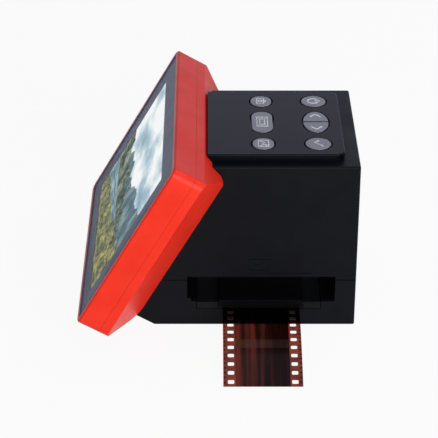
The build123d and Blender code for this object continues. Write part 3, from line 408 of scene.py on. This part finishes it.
lake = tones(display_lit, view_noise(12.0, detail=4.0, flatten=7.0, seed=2.0), [
    (0.40, (0.07, 0.15, 0.17)), (0.52, (0.17, 0.29, 0.33)), (0.62, (0.40, 0.54, 0.60))])
picture = hills(picture, lake, base=-13.0, size=40.0, rise=1.0, seed=1.0)
grass = layered(view_noise(9.0, detail=3.0, seed=2.9), share=0.6,
                fine=view_noise(1.5, detail=5.0, flatten=0.8, seed=6.0, rough=0.6))
meadow = tones(display_lit, grass, [
    (0.66, (0.008, 0.010, 0.002)), (0.76, (0.085, 0.105, 0.035)), (0.86, (0.26, 0.27, 0.14)),
    (0.98, (0.70, 0.52, 0.05))])
picture = hills(picture, meadow, base=-17.0, size=18.0, rise=18.0, seed=4.4, slope=0.12)
unlit = tones(display_lit, view_noise(4.0, detail=2.0), [
    (0.4, (0.004, 0.004, 0.005)), (0.6, (0.006, 0.006, 0.008))])
inside_x = reckon(display_lit, "LESS_THAN", reckon(display_lit, "ABSOLUTE", across), PICTURE_HALF_X)
inside_up = reckon(display_lit, "LESS_THAN", reckon(display_lit, "ABSOLUTE", up), PICTURE_HALF_UP)
shown = reckon(display_lit, "MULTIPLY", inside_x, inside_up)
picture = lay(display_lit, unlit, picture, shown)
wire(display_lit, picture, surface_of(display_lit).inputs["Emission Color"])
surface_of(display_lit).inputs["Emission Strength"].default_value = 1.0
dress(display_lit, "display_panel")

sheet_tin = surface("sheet_tin", (0.58, 0.59, 0.60), Roughness=0.35, Metallic=1.0)
blotch(sheet_tin, size=6.0, dark=(0.50, 0.51, 0.52), light=(0.62, 0.63, 0.64), stretch=(4, 1, 1))
grain(sheet_tin, size=0.6, depth=0.01, stretch=(6, 1, 1))
dress(sheet_tin, "display_sheet")

ribbon_amber = surface("ribbon_amber", (0.45, 0.20, 0.04), Roughness=0.35)
blotch(ribbon_amber, size=1.0, dark=(0.30, 0.12, 0.02), light=(0.52, 0.26, 0.06), stretch=(0.4, 8, 8))
dress(ribbon_amber, "display_ribbon")

# ---- Screen glass -------------------------------------------------------------------------
# One thin flat sheet of clear acrylic covers the front inside the rim. Its anti-reflective
# coat leaves it almost unseen. A dark border is printed on a foil behind it, round the picture,
# and the blue-grey of that border is painted reflection of the pale room on the glass.
window_clear = surface("window_clear", (0.010, 0.011, 0.014), Roughness=0.03, IOR=1.49, Alpha=0.06)
handled(window_clear, size=18.0, low=0.015, high=0.05)
dress(window_clear, "screen_window")

# Painted reflection: the blue-grey and its patches over the dark ink stand for the room mirrored in the
# glass.
border_ink = surface("border_ink", (0.160, 0.178, 0.29), Roughness=0.5, Specular_IOR_Level=0.2)
blotch(border_ink, size=12.0, dark=(0.142, 0.158, 0.26), light=(0.178, 0.196, 0.32))
dress(border_ink, "window_border")

# ---- Film tray and insert -----------------------------------------------------------------
# The tray is a flat black moulded frame that slides on two rails under the slot. The insert is
# a two-part clamshell with a picture window, and lies in the tray's pocket with the film
# between its halves.
tray_black = surface("tray_black", (0.0048, 0.0050, 0.0068), Roughness=0.45, Specular_IOR_Level=0.08)
blotch(tray_black, size=5.0, dark=(0.0042, 0.0044, 0.0060), light=(0.0058, 0.0060, 0.0080))
grain(tray_black, size=0.35, depth=0.012)
dress(tray_black, "film_tray")

insert_black = surface("insert_black", (0.0008, 0.0008, 0.0010), Roughness=0.45, Specular_IOR_Level=0.05)
blotch(insert_black, size=5.0, dark=(0.0006, 0.0006, 0.0008), light=(0.0012, 0.0012, 0.0015))
handled(insert_black, size=6.0, low=0.40, high=0.52)
grain(insert_black, size=0.35, depth=0.008)
dress(insert_black, "insert_base", "insert_cover")

# ---- Film strip ---------------------------------------------------------------------------
# Colour negative film, 35 mm wide, perforated along both edges. The base is clear orange, the
# pictures are dark, and small dots are exposed between the perforations and the edge.
FILM_Y = 2.8 * MM                  # the film's centre line
PICTURE_HALF_Y = 12.0 * MM         # half a picture, across the film
GAPS_X = (68.0 * MM, 30.3 * MM)    # the middles of the gaps between pictures
GAP_HALF = 2.5 * MM
WARMTH_ACROSS = -0.012 / MM        # the pictures get darker across the film, towards the rear
DOT_PITCH = 2.375 * MM             # two dots for each perforation
DOT_LENGTH = 0.7 * MM
DOTS_FROM_Y = 16.3 * MM            # the dots lie outside this, from the centre line
film_orange = surface("film_orange", (0.30, 0.055, 0.022), Roughness=0.15, Transmission_Weight=1.0,
                      IOR=1.2)
film_at = where(film_orange)
along = film_at["X"]
aside = reckon(film_orange, "SUBTRACT", film_at["Y"], FILM_Y)
from_middle = reckon(film_orange, "ABSOLUTE", aside)
in_rows = reckon(film_orange, "LESS_THAN", from_middle, PICTURE_HALF_Y)
in_picture = in_rows
for gap_x in GAPS_X:
    from_gap = reckon(film_orange, "ABSOLUTE", reckon(film_orange, "SUBTRACT", along, gap_x))
    off_gap = reckon(film_orange, "GREATER_THAN", from_gap, GAP_HALF)
    in_picture = reckon(film_orange, "MULTIPLY", in_picture, off_gap)
streaks = noise(film_orange, 3.2, detail=4.0, stretch=(30, 1, 30))
streaks = reckon(film_orange, "MULTIPLY_ADD", aside, WARMTH_ACROSS, streaks)
negatives = tones(film_orange, streaks, [
    (0.36, (0.0075, 0.0018, 0.0010)), (0.47, (0.018, 0.004, 0.0028)), (0.60, (0.055, 0.012, 0.009)),
    (0.70, (0.13, 0.018, 0.008))])
gap_tones = tones(film_orange, streaks, [(0.36, (0.018, 0.009, 0.008)), (0.60, (0.070, 0.025, 0.019))])
clear_base = tones(film_orange, noise(film_orange, 5.0), [
    (0.40, (0.13, 0.026, 0.018)), (0.62, (0.21, 0.048, 0.028))])
film_colour = lay(film_orange, clear_base, gap_tones, in_rows)
film_colour = lay(film_orange, film_colour, negatives, in_picture)
dots = reckon(film_orange, "LESS_THAN", reckon(film_orange, "WRAP", along, DOT_PITCH, 0.0), DOT_LENGTH)
in_edge = reckon(film_orange, "GREATER_THAN", from_middle, DOTS_FROM_Y)
dots = reckon(film_orange, "MULTIPLY", dots, in_edge)
film_colour = lay(film_orange, film_colour, (0.02, 0.006, 0.004), dots)
wire(film_orange, film_colour, surface_of(film_orange).inputs["Base Color"])
dress(film_orange, "film_strip")

# ---- Floor, light and camera --------------------------------------------------------------
# A plain pale floor under the feet, and soft light, mostly from the side the film comes out of.
# The camera looks at that side, nearly 29 degrees down.
FLOOR_Z = -1.5 * MM    # the underside of the feet
FLOOR_HALF = 6         # metres from its middle to its edges
FLOOR_WHITE = 0.93     # how far the floor shows plain white where it is seen
LOOK_DOWN = 28.763     # degrees


def rays(look, *kinds):
    """1 where the ray is of one of these kinds."""
    path = add(look, "LightPath")
    found = path.outputs["Is " + kinds[0] + " Ray"]
    for kind in kinds[1:]:
        found = reckon(look, "MAXIMUM", found, path.outputs["Is " + kind + " Ray"])
    return found


def glow(node, colour, strength):
    """A plain even light from a background or emission node."""
    node.inputs["Color"].default_value = (*colour, 1)
    node.inputs["Strength"].default_value = strength
    return node.outputs[0]


def swap(look, usual, shown, cover):
    """One shader in place of another where cover is 1."""
    blend = add(look, "MixShader")
    wire(look, cover, blend.inputs[0])
    wire(look, usual, blend.inputs[1])
    wire(look, shown, blend.inputs[2])
    return blend.outputs[0]


grid = bmesh.new()
bmesh.ops.create_grid(grid, x_segments=1, y_segments=1, size=FLOOR_HALF)
bmesh.ops.translate(grid, verts=grid.verts, vec=(0, 0, FLOOR_Z))
floor_mesh = bpy.data.meshes.new("floor")
grid.to_mesh(floor_mesh)
grid.free()
floor = bpy.data.objects.new("floor", floor_mesh)
bpy.context.scene.collection.objects.link(floor)
floor_pale = surface("floor_pale", (0.86, 0.86, 0.86), Roughness=0.9, Specular_IOR_Level=0.0)
floor_glow = glow(add(floor_pale, "Emission"), (1, 1, 1), 1.0)
floor_seen = rays(floor_pale, "Camera", "Transmission", "Glossy")
floor_seen = reckon(floor_pale, "MULTIPLY", floor_seen, FLOOR_WHITE)
floor_shader = swap(floor_pale, surface_of(floor_pale).outputs[0], floor_glow, floor_seen)
wire(floor_pale, floor_shader, floor_pale.node_tree.nodes["Material Output"].inputs["Surface"])
floor_mesh.materials.append(floor_pale)

world = bpy.data.worlds.new("studio")
world.use_nodes = True
bpy.context.scene.world = world
room = glow(world.node_tree.nodes["Background"], (0.95, 0.97, 1.0), 0.22)
reflected = glow(add(world, "Background"), (0.68, 0.72, 0.92), 1.0)
backdrop = glow(add(world, "Background"), (0.8, 0.8, 0.8), 1.0)
world_shader = swap(world, room, reflected, rays(world, "Glossy"))
world_shader = swap(world, world_shader, backdrop, rays(world, "Camera", "Transmission"))
wire(world, world_shader, world.node_tree.nodes["World Output"].inputs["Surface"])


def softbox(name, at, aim, width, height, watts):
    """A rectangular soft light at a place, turned to what it lights."""
    lamp = bpy.data.lights.new(name, "AREA")
    lamp.shape = "RECTANGLE"
    lamp.size = width
    lamp.size_y = height
    lamp.energy = watts
    box = bpy.data.objects.new(name, lamp)
    box.location = at
    box.rotation_euler = (Vector(aim) - Vector(at)).to_track_quat("-Z", "Y").to_euler()
    bpy.context.scene.collection.objects.link(box)


softbox("key_light", at=(1.14, 0.41, 0.32), aim=(0, 0, 0.04), width=1.1, height=0.6, watts=13.0)
softbox("top_light", at=(-0.2, 0.75, 1.0), aim=(0, 0, 0.05), width=0.6, height=0.6, watts=2.0)
softbox("back_light", at=(-1.5, 0.0, 0.9), aim=(0, 0, 0.08), width=1.3, height=1.3, watts=1.2)

lens = bpy.data.cameras.new("camera")
lens.lens = 149.03
lens.sensor_width = 36
lens.shift_x = 0.0277
camera = bpy.data.objects.new("camera", lens)
camera.location = (0.7499, -0.0219, 0.4446)
camera.rotation_euler = (radians(90 - LOOK_DOWN), 0, radians(90))
bpy.context.scene.collection.objects.link(camera)
bpy.context.scene.camera = camera
bpy.context.scene.view_settings.view_transform = "Standard"
